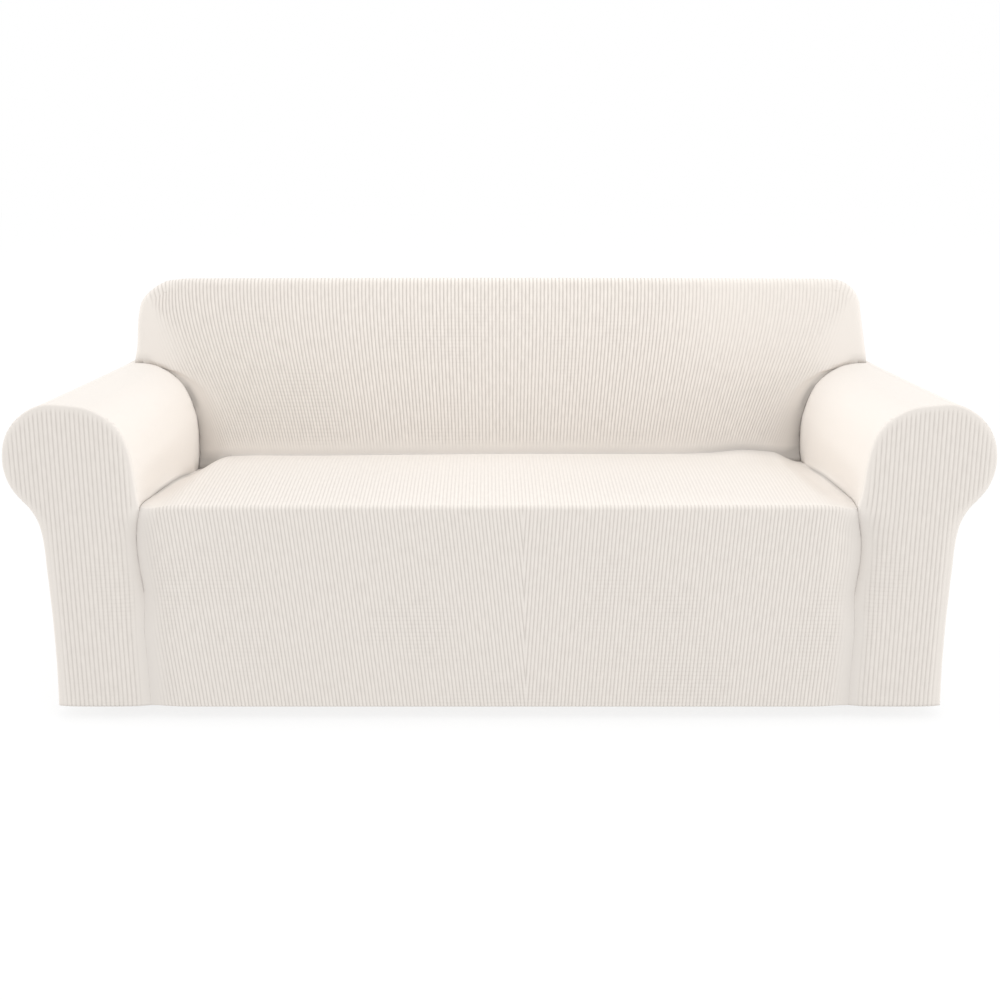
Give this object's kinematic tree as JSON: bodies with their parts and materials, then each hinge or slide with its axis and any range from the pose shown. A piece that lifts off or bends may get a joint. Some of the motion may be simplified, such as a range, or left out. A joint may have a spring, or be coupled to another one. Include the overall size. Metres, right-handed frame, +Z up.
{
  "type": "sofa slipcover",
  "caption": "Stretch slipcover for a rolled-arm sofa with a bench seat, in off-white ribbed knit, as it hangs when fitted; hollow, with an open hem.",
  "frame": {"origin": "under the cloth at the middle of the back's top, just behind its front edge, where the cover hangs on the sofa", "axes": "+X to the right along the sofa as seen from the front, +Y from the front to the rear, +Z up"},
  "size_m": [2.0556, 0.904, 0.8589],
  "materials": {
    "ribbed_knit": "matt off-white stretch knit with fine vertical ribs"
  },
  "bodies": {
    "root": {"seat_and_front": "ribbed_knit", "inside_back": "ribbed_knit", "outside_back": "ribbed_knit", "arm_right": "ribbed_knit", "arm_left": "ribbed_knit", "arm_front_right": "ribbed_knit", "arm_front_left": "ribbed_knit"}
  },
  "joints": []
}
